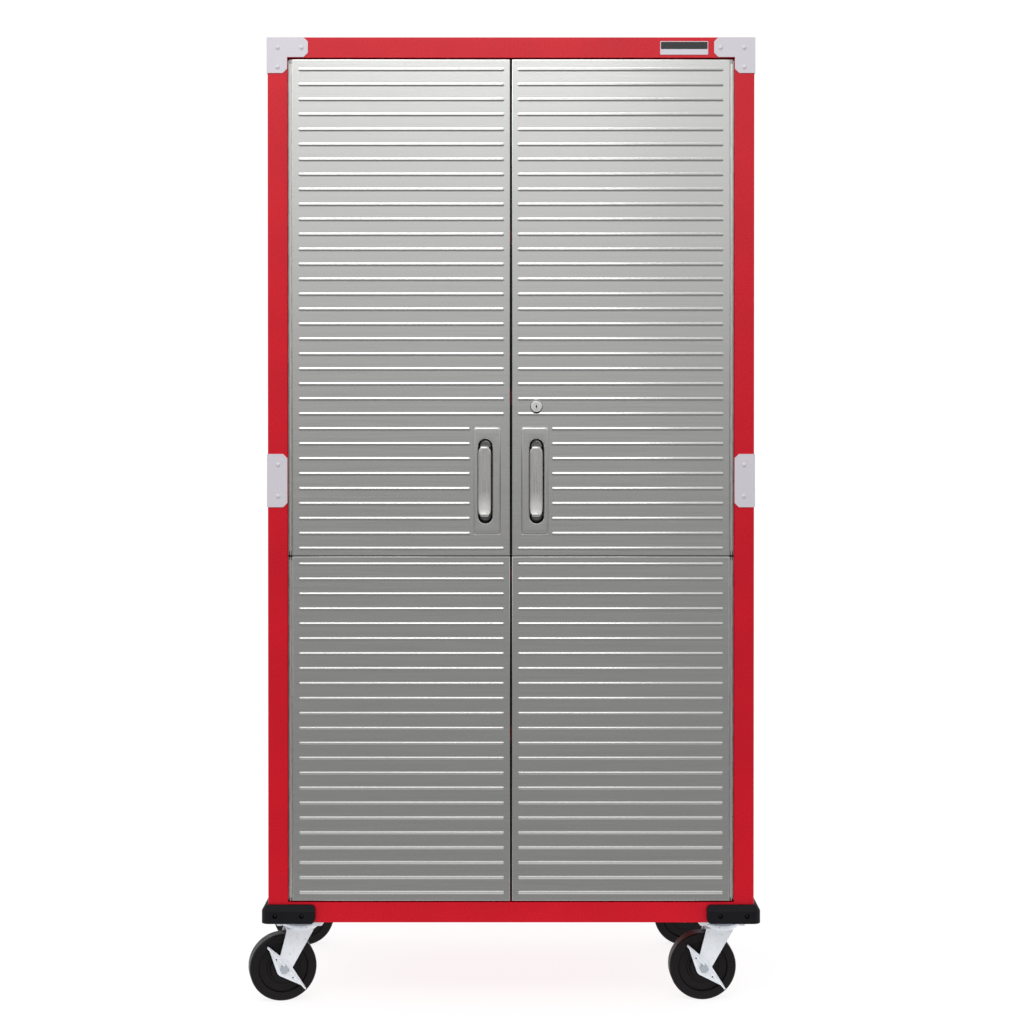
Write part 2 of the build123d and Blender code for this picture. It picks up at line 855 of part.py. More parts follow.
upper_skin = door_skin(upper_low, upper_high, upper_rib_first, True)
lower_skin = door_skin(lower_low, lower_high, lower_rib_first, False)
upper_liner = door_liner(upper_low, upper_high)
lower_liner = door_liner(lower_low, lower_high)
save_mirrored(upper_skin, "left_upper_door_skin", Plane.YZ)
save_mirrored(lower_skin, "left_lower_door_skin", Plane.YZ)
save(lower_skin, "right_lower_door_skin")
save_mirrored(upper_liner, "left_upper_door_liner", Plane.YZ)
save_mirrored(lower_liner, "left_lower_door_liner", Plane.YZ)
save(lower_liner, "right_lower_door_liner")

# The right upper panel also has the hole of the lock
lock_hole_radius = lock_neck_radius + screw_gap
for pierced, name in (
    (upper_skin, "right_upper_door_skin"),
    (upper_liner, "right_upper_door_liner"),
):
    with BuildPart() as lock_panel:
        add(pierced.part)
        with BuildSketch(front_plane.offset(lock_head_rise)):
            with Locations((lock_x, lock_height)):
                Circle(lock_hole_radius)
        extrude(amount=-lock_head_rise - 2 * door_thickness, mode=Mode.SUBTRACT)
    save(lock_panel, name)

# Door splices: a strap across the seam of each door, on the inside
with BuildPart() as right_door_splice:
    with BuildSketch(front_plane.offset(-door_thickness)):
        with Locations((door_centre, door_seam_height)):
            RectangleRounded(door_width - 2 * splice_margin, splice_height, splice_thickness)
    extrude(amount=-splice_thickness)
save(right_door_splice, "right_door_splice")
save_mirrored(right_door_splice, "left_door_splice", Plane.YZ)

# Pull handles: a pressed cup behind each pad's slot, and a bent bar brazed to the cup's floor
cup_floor = cup_depth
bar_y = front_y - bar_rise + bar_thickness / 2
bar_top = handle_height + bar_half_height - bar_thickness / 2
bar_bottom = handle_height - bar_half_height + bar_thickness / 2


def pull_cup():
    """Cup of the right door's handle, with the flange that lies behind the pad."""
    rim = front_plane.offset(pad_rise - pad_wall)
    with BuildPart() as cup:
        with BuildSketch(rim):
            with Locations((handle_x, handle_height)):
                RectangleRounded(
                    pad_width - 2 * pad_wall - 2 * slip_gap,
                    pad_height - cup_flange_border,
                    pad_corner - pad_wall,
                )
        extrude(amount=-pad_wall)
        with BuildSketch(rim):
            with Locations((pull_x, handle_height)):
                SlotOverall(pull_height + 2 * cup_wall, pull_width + 2 * cup_wall, rotation=90)
        extrude(amount=-pad_rise + pad_wall - cup_depth - cup_wall)
        with BuildSketch(rim):
            with Locations((pull_x, handle_height)):
                SlotOverall(pull_height, pull_width, rotation=90)
        extrude(amount=-pad_rise + pad_wall - cup_depth, mode=Mode.SUBTRACT)
    return cup


def pull_bar(bar_x):
    """Bar of the right door's handle, centred on bar_x, with both feet on the cup's floor."""
    with BuildPart() as bar:
        with BuildLine(Plane.YZ.offset(bar_x)):
            FilletPolyline(
                (front_y + cup_floor, bar_bottom),
                (bar_y, bar_bottom),
                (bar_y, bar_top),
                (front_y + cup_floor, bar_top),
                radius=bar_bend,
            )
        foot = Plane(
            origin=(bar_x, front_y + cup_floor, bar_bottom), x_dir=(1, 0, 0), z_dir=(0, -1, 0)
        )
        with BuildSketch(foot):
            Ellipse(bar_width / 2, bar_thickness / 2)
        sweep()
    return bar


right_cup = pull_cup()
save(right_cup, "right_pull_cup")
save_mirrored(right_cup, "left_pull_cup", Plane.YZ)
save(pull_bar(pull_x - bar_shift), "right_pull_bar")
save_mirrored(pull_bar(pull_x + bar_shift), "left_pull_bar", Plane.YZ)

# Lock housing: a head that stands clear over the ribs, a neck through the door, and its nut
neck_end = door_thickness + lock_nut_thickness
with BuildPart() as lock_housing:
    with BuildSketch(front_plane.offset(lock_head_rise)):
        with Locations((lock_x, lock_height)):
            Circle(lock_head_radius)
    extrude(amount=-lock_head_thickness)
    fillet(faces().sort_by(Axis.Y)[0].edges(), radius=lock_head_edge)
    with BuildSketch(front_plane.offset(lock_head_rise - lock_head_thickness)):
        with Locations((lock_x, lock_height)):
            Circle(lock_neck_radius)
    extrude(amount=-lock_head_rise + lock_head_thickness - neck_end)
    with BuildSketch(front_plane.offset(lock_head_rise)):
        with Locations((lock_x, lock_height)):
            Circle(plug_radius + running_gap)
    extrude(amount=-lock_head_rise - neck_end, mode=Mode.SUBTRACT)
    with BuildSketch(front_plane.offset(-door_thickness)):
        with Locations((lock_x, lock_height)):
            RegularPolygon(lock_nut_radius, 6)
            Circle(lock_neck_radius + screw_gap, mode=Mode.SUBTRACT)
    extrude(amount=-lock_nut_thickness)
save(lock_housing, "lock_housing")

# Lock plug with its keyhole, and the cam on its inner end
with BuildPart() as lock_plug:
    with BuildSketch(front_plane.offset(lock_head_rise + plug_rise)):
        with Locations((lock_x, lock_height)):
            Circle(plug_radius)
    extrude(amount=-lock_head_rise - plug_rise - neck_end - pivot_gap)
    with BuildSketch(front_plane.offset(lock_head_rise + plug_rise)):
        with Locations((lock_x, lock_height)):
            Rectangle(keyhole_width, keyhole_height)
            Circle(keyhole_width)
    extrude(amount=-keyhole_depth, mode=Mode.SUBTRACT)
save(lock_plug, "lock_plug")

with BuildPart() as lock_cam:
    with BuildSketch(front_plane.offset(-neck_end - pivot_gap)):
        with Locations((lock_x, lock_height - (cam_length - cam_width) / 2)):
            SlotOverall(cam_length, cam_width, rotation=90)
    extrude(amount=-cam_thickness)
save(lock_cam, "lock_cam")

# Slide bolts at the top and bottom of the left door, and the guides that hold them
top_tip = roof_height - bolt_tip_gap
bottom_tip = deck_height + bolt_tip_gap
with BuildPart() as left_top_bolt:
    with BuildSketch(Plane.XY.offset(top_tip)):
        with Locations((-bolt_x, bolt_y)):
            Circle(bolt_radius)
    extrude(amount=-bolt_length)
    with BuildSketch(Plane.XZ.offset(-bolt_y)):
        with Locations((-bolt_x, top_tip - bolt_length + bolt_knob_inset)):
            Circle(bolt_knob_radius)
    extrude(amount=-bolt_knob_length)
save(left_top_bolt, "left_top_bolt")

with BuildPart() as left_bottom_bolt:
    with BuildSketch(Plane.XY.offset(bottom_tip)):
        with Locations((-bolt_x, bolt_y)):
            Circle(bolt_radius)
    extrude(amount=bolt_length)
    with BuildSketch(Plane.XZ.offset(-bolt_y)):
        with Locations((-bolt_x, bottom_tip + bolt_length - bolt_knob_inset)):
            Circle(bolt_knob_radius)
    extrude(amount=-bolt_knob_length)
save(left_bottom_bolt, "left_bottom_bolt")

with BuildPart() as bolt_guides:
    for level in (top_tip - guide_setback - guide_height, bottom_tip + guide_setback):
        with BuildSketch(Plane.XY.offset(level)):
            with Locations((-bolt_x, door_back_y)):
                Rectangle(guide_width, guide_depth, align=(Align.CENTER, Align.MIN))
            with Locations((-bolt_x, bolt_y)):
                Circle(bolt_radius + running_gap, mode=Mode.SUBTRACT)
        extrude(amount=guide_height)
save(bolt_guides, "bolt_guides")

# Caster plates: a bolted plate with its ball race and the kingpin that carries the fork
plate_low = channel_low - caster_plate_thickness
race_low = plate_low - race_height
crown_top = race_low - race_gap
crown_low = crown_top - fork_crown_height
kingpin_top = crown_low - race_gap
with BuildPart() as caster_plate:
    with BuildSketch(Plane.XY.offset(plate_low)):
        RectangleRounded(caster_plate_width, caster_plate_depth, caster_plate_corner)
        with Locations(*bolt_places):
            Circle(caster_bolt_radius + screw_gap, mode=Mode.SUBTRACT)
    extrude(amount=caster_plate_thickness)
    with BuildSketch(Plane.XZ):
        with BuildLine():
            Polyline(
                (0, plate_low),
                (race_radius, plate_low),
                (race_foot_radius, race_low),
                (kingpin_radius, race_low),
                (kingpin_radius, kingpin_top),
                (kingpin_head_radius, kingpin_top),
                (kingpin_head_radius, kingpin_top - kingpin_head_height),
                (0, kingpin_top - kingpin_head_height),
                close=True,
            )
        make_face()
    revolve(axis=Axis.Z)
with BuildPart() as caster_plates:
    with Locations(*caster_places.values()):
        add(caster_plate.part)
save(caster_plates, "caster_plates")

# Caster bolts and nuts, four to a plate
grip_top = channel_low + channel_wall
with BuildPart() as caster_bolt:
    with BuildSketch(Plane.XY.offset(plate_low)):
        RegularPolygon(caster_bolt_head_radius, 6)
    extrude(amount=-caster_bolt_head_height)
    with BuildSketch(Plane.XY.offset(plate_low)):
        Circle(caster_bolt_radius)
    extrude(amount=grip_top + caster_nut_height - plate_low)
    with BuildSketch(Plane.XY.offset(grip_top)):
        RegularPolygon(caster_bolt_head_radius, 6)
    extrude(amount=caster_nut_height)
with BuildPart() as caster_bolts:
    with Locations(*caster_places.values()):
        with Locations(*bolt_places):
            add(caster_bolt.part)
save(caster_bolts, "caster_bolts")

# Caster fork: a dished crown on the kingpin and two tapered legs that carry the axle
axle_point = (-trail, wheel_radius)
fork_top_width = fork_top_front + fork_top_back
fork_top_middle = (fork_top_back - fork_top_front) / 2
with BuildPart() as fork:
    with BuildSketch(Plane.XZ):
        with BuildLine():
            Polyline(
                (0, crown_top),
                (fork_crown_radius, crown_top),
                (fork_crown_radius, crown_top - fork_crown_rim),
                (fork_crown_foot, crown_low),
                (0, crown_low),
                close=True,
            )
        make_face()
    revolve(axis=Axis.Z)
    with BuildSketch(Plane.XY.offset(crown_low)):
        with Locations((fork_top_middle, 0)):
            Rectangle(fork_top_width, axle_length)
    extrude(amount=fork_wall)
    with BuildSketch(Plane.XY.offset(crown_low)):
        Circle(kingpin_radius + running_gap)
    extrude(amount=fork_crown_height, mode=Mode.SUBTRACT)
    leg_planes = (Plane.XZ.offset(axle_length / 2), Plane.XZ.offset(-fork_inside / 2))
    with BuildSketch(*leg_planes):
        with Locations(axle_point):
            Circle(fork_foot_radius)
        with Locations((fork_top_middle, crown_low)):
            Rectangle(fork_top_width, fork_wall, align=(Align.CENTER, Align.MIN))
        make_hull()
        with Locations(axle_point):
            Circle(axle_radius + running_gap, mode=Mode.SUBTRACT)
    extrude(amount=-fork_wall)

# Wheel: one moulding with a stepped face, turning on a steel bush
wheel_plane = Plane(origin=(-trail, 0, wheel_radius))
wheel_axis = Axis((-trail, 0, wheel_radius), (0, 1, 0))
half_profile = [
    (wheel_bore, hub_width / 2),
    (hub_radius - rim_lip, hub_width / 2),
    (hub_radius, hub_ring_width / 2),
    (hub_ring_radius - rim_lip, hub_ring_width / 2),
    (hub_ring_radius, web_width / 2),
    (rim_inner_radius, web_width / 2),
    (rim_inner_radius + rim_lip, rim_width / 2),
    (wheel_radius - shoulder, wheel_width / 2),
]
other_half = [(radius, -offset) for radius, offset in reversed(half_profile)]
tread_half = wheel_width / 2 - shoulder
with BuildPart() as wheel:
    with BuildSketch(wheel_plane):
        with BuildLine():
            Polyline(*half_profile)
            RadiusArc(half_profile[-1], (wheel_radius, tread_half), shoulder)
            Line((wheel_radius, tread_half), (wheel_radius, -tread_half))
            RadiusArc((wheel_radius, -tread_half), other_half[0], shoulder)
            Polyline(*other_half, half_profile[0])
        make_face()
    revolve(axis=wheel_axis)


def axle(front_stack):
    """Axle bolt with its head and nut outside the legs, and the bush between the legs."""
    half = axle_length / 2
    with BuildPart() as axle_set:
        with BuildSketch(Plane.XZ.offset(half + front_stack)):
            with Locations(axle_point):
                Circle(axle_radius)
        extrude(amount=-2 * half - front_stack - axle_head_height)
        with BuildSketch(Plane.XZ.offset(half + front_stack)):
            with Locations(axle_point):
                RegularPolygon(axle_head_radius, 6)
        extrude(amount=axle_head_height)
        with BuildSketch(Plane.XZ.offset(-half)):
            with Locations(axle_point):
                RegularPolygon(axle_head_radius, 6)
        extrude(amount=-axle_head_height)
    with BuildPart() as bush:
        with BuildSketch(Plane.XZ.offset(fork_inside / 2)):
            with Locations(axle_point):
                Circle(wheel_bore - running_gap)
                Circle(axle_radius + running_gap, mode=Mode.SUBTRACT)
        extrude(amount=-fork_inside)
    with BuildPart() as both:
        add(axle_set.part)
        add(bush.part)
    return both


# Brake lever: a leaf shaped plate on the axle, with a flange to tread on along its straight edge
slope = radians(lever_slope)
along = Vector(cos(slope), -sin(slope))
across = Vector(sin(slope), cos(slope))
lever_middle = Vector(*axle_point)
upper_tip = lever_middle - along * lever_half_length + across * lever_edge_offset
lower_tip = lever_middle + along * lever_half_length + across * lever_edge_offset
lever_face = axle_length / 2 + pivot_gap
with BuildPart() as lever:
    with BuildSketch(Plane.XZ.offset(lever_face)):
        with BuildLine():
            Polyline(upper_tip, lower_tip, lever_middle, close=True)
        make_face()
        with Locations(axle_point):
            Circle(lever_boss)
        make_hull()
        with Locations(axle_point):
            Circle(axle_radius + running_gap, mode=Mode.SUBTRACT)
        hole_reach = along * lever_half_length * 2 * lever_hole_share
        hole_middle = lever_middle + across * lever_hole_offset
        with Locations(hole_middle - hole_reach, hole_middle + hole_reach):
            Circle(lever_hole_radius, mode=Mode.SUBTRACT)
    extrude(amount=lever_thickness)
    flange_middle = (upper_tip + lower_tip) / 2 - across * lever_thickness / 2
    with BuildSketch(Plane.XZ.offset(lever_face + lever_thickness)):
        with Locations(Location((flange_middle.X, flange_middle.Y, 0), (0, 0, -lever_slope))):
            Rectangle(2 * lever_half_length, lever_thickness)
        with Locations(axle_point):
            Circle(axle_head_radius + pivot_gap, mode=Mode.SUBTRACT)
    extrude(amount=lever_flange)

# The four casters, each turned the way it trails
braked_axle = axle(lever_stack)
plain_axle = axle(0)
for corner, yaw in caster_yaws.items():
    braked = corner.startswith("front")
    pieces = {
        "fork": fork,
        "wheel": wheel,
        "axle": braked_axle if braked else plain_axle,
    }
    if braked:
        pieces["brake_lever"] = lever
    place = Location((*caster_places[corner], 0), (0, 0, yaw))
    for kind, piece in pieces.items():
        with BuildPart() as caster_piece:
            with Locations(place):
                add(piece.part)
        save(caster_piece, f"{corner}_{kind}")
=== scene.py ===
import bmesh
import bpy
from math import cos, pi, radians, sin
from mathutils import Matrix, Vector


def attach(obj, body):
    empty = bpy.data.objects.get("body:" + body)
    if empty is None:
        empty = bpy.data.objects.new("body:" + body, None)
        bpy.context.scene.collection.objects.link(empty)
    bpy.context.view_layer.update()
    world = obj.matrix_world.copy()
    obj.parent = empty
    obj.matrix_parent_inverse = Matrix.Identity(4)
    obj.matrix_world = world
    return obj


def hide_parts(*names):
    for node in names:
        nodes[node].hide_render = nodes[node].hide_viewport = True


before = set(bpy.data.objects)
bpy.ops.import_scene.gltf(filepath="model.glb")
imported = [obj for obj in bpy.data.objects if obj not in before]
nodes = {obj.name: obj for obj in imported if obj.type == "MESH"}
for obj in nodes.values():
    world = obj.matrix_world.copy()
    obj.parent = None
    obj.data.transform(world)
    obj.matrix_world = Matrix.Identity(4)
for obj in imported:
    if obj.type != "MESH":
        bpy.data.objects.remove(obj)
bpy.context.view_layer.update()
scene = bpy.context.scene
mm = 0.001

# The case: side, back, base and top panels folded from 1.2 mm steel sheet and bolted together,
# with the shelves and the inner sheets of the doors in the same finish.
# All are sprayed with red polyester powder and baked, which leaves a fine pebbled skin.


def linear(hex_colour):
    """sRGB hex to the linear colour that the shaders take."""
    parts = [int(hex_colour[place:place + 2], 16) / 255 for place in (1, 3, 5)]
    parts = [part / 12.92 if part <= 0.04045 else ((part + 0.055) / 1.055) ** 2.4 for part in parts]
    return (*parts, 1.0)


def put(material, kind, sockets=(), **settings):
    """Add a node with its settings, and set or link its input sockets."""
    made = material.node_tree.nodes.new(kind)
    for name, value in settings.items():
        setattr(made, name, value)
    for socket, value in dict(sockets).items():
        if isinstance(value, bpy.types.NodeSocket):
            material.node_tree.links.new(value, made.inputs[socket])
        else:
            made.inputs[socket].default_value = value
    return made


def empty_material(name):
    """A material with nothing in it but its output."""
    material = bpy.data.materials.new(name)
    material.use_nodes = True
    material.node_tree.nodes.clear()
    return material


def dress(names, material):
    """Give CAD pieces a finish."""
    for name in names:
        nodes[name].data.materials.clear()
        nodes[name].data.materials.append(material)


# Red powder coat: a polyester skin with pebbles about 1.6 mm across, which break up its gloss.
powder_coat = empty_material("red_powder_coat")
place = put(powder_coat, "ShaderNodeTexCoord")
pebbles = put(powder_coat, "ShaderNodeTexNoise", {
    "Vector": place.outputs["Object"], "Scale": 1 / (1.6 * mm), "Detail": 2.0, "Roughness": 0.55})
clouds = put(powder_coat, "ShaderNodeTexNoise", {
    "Vector": place.outputs["Object"], "Scale": 1 / (90 * mm), "Detail": 3.0})
shade = put(powder_coat, "ShaderNodeMix", {
    "Factor": pebbles.outputs["Fac"], 6: linear("#C2041D"), 7: linear("#D70722")}, data_type="RGBA")
drift_value = put(powder_coat, "ShaderNodeMapRange", {
    "Value": clouds.outputs["Fac"], "From Min": 0.3, "From Max": 0.7, "To Min": 0.95, "To Max": 1.05})
drift = put(powder_coat, "ShaderNodeHueSaturation", {
    "Color": shade.outputs[2], "Value": drift_value.outputs[0]})
gloss = put(powder_coat, "ShaderNodeMapRange", {
    "Value": pebbles.outputs["Fac"], "From Min": 0.3, "From Max": 0.7, "To Min": 0.22, "To Max": 0.32})
pebble_bump = put(powder_coat, "ShaderNodeBump", {
    "Height": pebbles.outputs["Fac"], "Strength": 0.2, "Distance": 0.15 * mm})
coat = put(powder_coat, "ShaderNodeBsdfPrincipled", {
    "Base Color": drift.outputs["Color"], "Roughness": gloss.outputs[0],
    "Normal": pebble_bump.outputs["Normal"], "IOR": 1.4})
put(powder_coat, "ShaderNodeOutputMaterial", {"Surface": coat.outputs["BSDF"]})
dress([
    "base_panel", "top_panel", "lower_left_side_panel", "lower_right_side_panel",
    "upper_left_side_panel", "upper_right_side_panel", "lower_back_panel", "upper_back_panel",
    "shelf_1", "shelf_2", "shelf_3", "shelf_4", "left_upper_door_liner", "left_lower_door_liner",
    "right_upper_door_liner", "right_lower_door_liner", "left_door_splice", "right_door_splice",
], powder_coat)

# Corner and joint plates: 1.6 mm steel plates folded round the posts, with clipped corners.
# They are sprayed a pale silver, and their cut edges catch the light.
silver_paint = empty_material("pale_silver_paint")
place = put(silver_paint, "ShaderNodeTexCoord")
flake = put(silver_paint, "ShaderNodeTexNoise", {
    "Vector": place.outputs["Object"], "Scale": 1 / (2.2 * mm), "Detail": 3.0})
tone = put(silver_paint, "ShaderNodeMix", {
    "Factor": flake.outputs["Fac"], 6: linear("#CDC9D1"), 7: linear("#D8D4DC")}, data_type="RGBA")
grain = put(silver_paint, "ShaderNodeBump", {
    "Height": flake.outputs["Fac"], "Strength": 0.2, "Distance": 0.08 * mm})
paint = put(silver_paint, "ShaderNodeBsdfPrincipled", {
    "Base Color": tone.outputs[2], "Roughness": 0.42, "Normal": grain.outputs["Normal"]})
put(silver_paint, "ShaderNodeOutputMaterial", {"Surface": paint.outputs["BSDF"]})
dress(["corner_plates", "joint_plates"], silver_paint)

# Corner bumpers: moulded rubber blocks screwed round the corners of the base.
# The mould leaves a fine matt grain.
bumper_rubber = empty_material("moulded_rubber")
place = put(bumper_rubber, "ShaderNodeTexCoord")
mould_grain = put(bumper_rubber, "ShaderNodeTexNoise", {
    "Vector": place.outputs["Object"], "Scale": 1 / (1.5 * mm), "Detail": 2.0})
worn = put(bumper_rubber, "ShaderNodeTexNoise", {
    "Vector": place.outputs["Object"], "Scale": 1 / (25 * mm), "Detail": 4.0})
rubber_tone = put(bumper_rubber, "ShaderNodeMix", {
    "Factor": worn.outputs["Fac"], 6: linear("#0F0E12"), 7: linear("#19181D")}, data_type="RGBA")
rubber_bump = put(bumper_rubber, "ShaderNodeBump", {
    "Height": mould_grain.outputs["Fac"], "Strength": 0.25, "Distance": 0.15 * mm})
rubber = put(bumper_rubber, "ShaderNodeBsdfPrincipled", {
    "Base Color": rubber_tone.outputs[2], "Roughness": 0.6, "Specular IOR Level": 0.12,
    "Normal": rubber_bump.outputs["Normal"]})
put(bumper_rubber, "ShaderNodeOutputMaterial", {"Surface": rubber.outputs["BSDF"]})
dress(["corner_bumpers"], bumper_rubber)

# Frame screws: cold headed steel screws with domed heads. Those in the plates are sprayed silver
# with them, and those in the wells of the bumpers are blackened in oxide and oiled.
# The same dark material also paints the shade in the lock's keyway and the shadow under the lock's head.
oxide_black_and_painted_shade = empty_material("black_oxide_steel_and_painted_shade")
place = put(oxide_black_and_painted_shade, "ShaderNodeTexCoord")
oil = put(oxide_black_and_painted_shade, "ShaderNodeTexNoise", {
    "Vector": place.outputs["Object"], "Scale": 1 / (2 * mm), "Detail": 2.0})
oil_gloss = put(oxide_black_and_painted_shade, "ShaderNodeMapRange", {
    "Value": oil.outputs["Fac"], "From Min": 0.3, "From Max": 0.7, "To Min": 0.35, "To Max": 0.5})
oxide = put(oxide_black_and_painted_shade, "ShaderNodeBsdfPrincipled", {
    "Base Color": linear("#1A1A1D"), "Metallic": 0.5, "Roughness": oil_gloss.outputs[0]})
put(oxide_black_and_painted_shade, "ShaderNodeOutputMaterial", {"Surface": oxide.outputs["BSDF"]})
bumper_top = 197 * mm
dress(["frame_screws"], silver_paint)
nodes["frame_screws"].data.materials.append(oxide_black_and_painted_shade)
for face in nodes["frame_screws"].data.polygons:
    face.material_index = 1 if face.center.z < bumper_top else 0

# Zinc plated steel: casters, channels, clips, bolts and the lock's cam.
# The plating is bright and bluish, with the faint spangle of a barrel finish.
zinc = empty_material("bright_zinc_plate")
place = put(zinc, "ShaderNodeTexCoord")
spangle = put(zinc, "ShaderNodeTexNoise", {
    "Vector": place.outputs["Object"], "Scale": 1 / (6 * mm), "Detail": 4.0})
zinc_tone = put(zinc, "ShaderNodeMix", {
    "Factor": spangle.outputs["Fac"], 6: linear("#E2E7EE"), 7: linear("#F2F5F9")}, data_type="RGBA")
zinc_gloss = put(zinc, "ShaderNodeMapRange", {
    "Value": spangle.outputs["Fac"], "From Min": 0.3, "From Max": 0.7, "To Min": 0.26, "To Max": 0.42})
plating = put(zinc, "ShaderNodeBsdfPrincipled", {
    "Base Color": zinc_tone.outputs[2], "Metallic": 0.3, "Roughness": zinc_gloss.outputs[0]})
put(zinc, "ShaderNodeOutputMaterial", {"Surface": plating.outputs["BSDF"]})
corners = ["front_left", "front_right", "rear_left", "rear_right"]
dress([corner + "_fork" for corner in corners] + [
    "front_left_brake_lever", "front_right_brake_lever", "caster_plates", "caster_bolts", "shelf_clips",
    "base_channels", "bolt_guides", "left_top_bolt", "left_bottom_bolt", "lock_cam"], zinc)

# Axles: forged steel bolts with hexagon heads and nuts.
# They aren't plated but oiled, and look duller than the forks.
oiled_steel = empty_material("oiled_steel")
place = put(oiled_steel, "ShaderNodeTexCoord")
film = put(oiled_steel, "ShaderNodeTexNoise", {
    "Vector": place.outputs["Object"], "Scale": 1 / (3 * mm), "Detail": 3.0})
film_gloss = put(oiled_steel, "ShaderNodeMapRange", {
    "Value": film.outputs["Fac"], "From Min": 0.3, "From Max": 0.7, "To Min": 0.28, "To Max": 0.4})
bolt_steel = put(oiled_steel, "ShaderNodeBsdfPrincipled", {
    "Base Color": linear("#B4BAC2"), "Metallic": 0.9, "Roughness": film_gloss.outputs[0]})
put(oiled_steel, "ShaderNodeOutputMaterial", {"Surface": bolt_steel.outputs["BSDF"]})
dress([corner + "_axle" for corner in corners], oiled_steel)

# Wheels: one hard rubber moulding each, with stepped rings round the hub.
# The tread is turned smooth and shows a faint sheen.
wheel_rubber = empty_material("hard_black_rubber")
place = put(wheel_rubber, "ShaderNodeTexCoord")
smear = put(wheel_rubber, "ShaderNodeTexNoise", {
    "Vector": place.outputs["Object"], "Scale": 1 / (8 * mm), "Detail": 4.0})
wheel_tone = put(wheel_rubber, "ShaderNodeMix", {
    "Factor": smear.outputs["Fac"], 6: linear("#0B090B"), 7: linear("#161214")}, data_type="RGBA")
wheel_gloss = put(wheel_rubber, "ShaderNodeMapRange", {
    "Value": smear.outputs["Fac"], "From Min": 0.3, "From Max": 0.7, "To Min": 0.36, "To Max": 0.5})
wheel_skin = put(wheel_rubber, "ShaderNodeBsdfPrincipled", {
    "Base Color": wheel_tone.outputs[2], "Roughness": wheel_gloss.outputs[0],
    "Specular IOR Level": 0.16})
put(wheel_rubber, "ShaderNodeOutputMaterial", {"Surface": wheel_skin.outputs["BSDF"]})
dress([corner + "_wheel" for corner in corners], wheel_rubber)

# Door skins: 1 mm stainless sheet, pressed with round ribs and folded back along its four edges.
# The sheet is belt brushed from side to side before it is pressed.
front_y = -228.6
door_inner = 1.75
door_outer = 411.0
return_depth = 21.0
fold_radius = 1.2
fold_support = 2.0
face_slack = 0.01
front_normal = -0.99
rib_half = 3.4
rib_rise = 1.1
rib_pitch = 28.1
rib_inner_end = 15.75
rib_outer_end = 395.9
rib_short_end = 79.75
handle_x = 44.75
handle_z = 988.0
pad_size = (51.0, 200.0)
hole_inset = 3.0
rib_steps = [-1.25, -1.0, -0.8, -0.6, -0.4, -0.2, 0.0, 0.2, 0.4, 0.6, 0.8, 1.0, 1.25]
# Low edge, high edge, first rib under the high edge, number of ribs, and whether a handle is in it.
skins = {"upper": (847.75, 1779.8, 19.4, 33, True), "lower": (197.5, 846.25, 14.6, 23, False)}

brushed = empty_material("brushed_stainless")
place = put(brushed, "ShaderNodeTexCoord")
# Scratches run along X. Real ones are under 0.1 mm wide, and are drawn 1.5 mm wide to show.
stretch = put(brushed, "ShaderNodeMapping", {
    "Vector": place.outputs["Object"], "Scale": (1 / (160 * mm), 1 / (1.5 * mm), 1 / (1.5 * mm))})
scratches = put(brushed, "ShaderNodeTexNoise", {
    "Vector": stretch.outputs["Vector"], "Scale": 1.0, "Detail": 4.0, "Roughness": 0.7})
steel_tone = put(brushed, "ShaderNodeMix", {
    "Factor": scratches.outputs["Fac"], 6: linear("#BDBDBC"), 7: linear("#CACAC8")}, data_type="RGBA")
steel_gloss = put(brushed, "ShaderNodeMapRange", {
    "Value": scratches.outputs["Fac"], "From Min": 0.3, "From Max": 0.7, "To Min": 0.21, "To Max": 0.26})
along_brushing = put(brushed, "ShaderNodeTangent", direction_type="RADIAL", axis="Z")
steel = put(brushed, "ShaderNodeBsdfPrincipled", {
    "Base Color": steel_tone.outputs[2], "Metallic": 1.0, "Roughness": steel_gloss.outputs[0],
    "Anisotropic": 0.45, "Anisotropic Rotation": 0.25, "Tangent": along_brushing.outputs["Tangent"]})
put(brushed, "ShaderNodeOutputMaterial", {"Surface": steel.outputs["BSDF"]})


def finish_piece(bm, name, material, body, replaced=(), smooth_angle=35):
    """Turn a bmesh, built in millimetres, into a smooth shaded piece that rides on a body."""
    bmesh.ops.remove_doubles(bm, verts=bm.verts, dist=0.001)
    bmesh.ops.recalc_face_normals(bm, faces=bm.faces)
    bmesh.ops.scale(bm, vec=(mm, mm, mm), verts=bm.verts)
    mesh = bpy.data.meshes.new(name)
    bm.to_mesh(mesh)
    bm.free()
    mesh.materials.append(material)
    mesh.shade_smooth()
    mesh.set_sharp_from_angle(angle=radians(smooth_angle))
    piece = bpy.data.objects.new(name, mesh)
    scene.collection.objects.link(piece)
    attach(piece, body)
    if replaced:
        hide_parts(*replaced)


def front_faces(bm):
    """Faces of the sheet that look to the front, with their edges and corners."""
    faces = [face for face in bm.faces if face.normal.y < front_normal]
    edges = list({edge for face in faces for edge in face.edges})
    verts = list({vert for face in faces for vert in face.verts})
    return verts + edges + faces


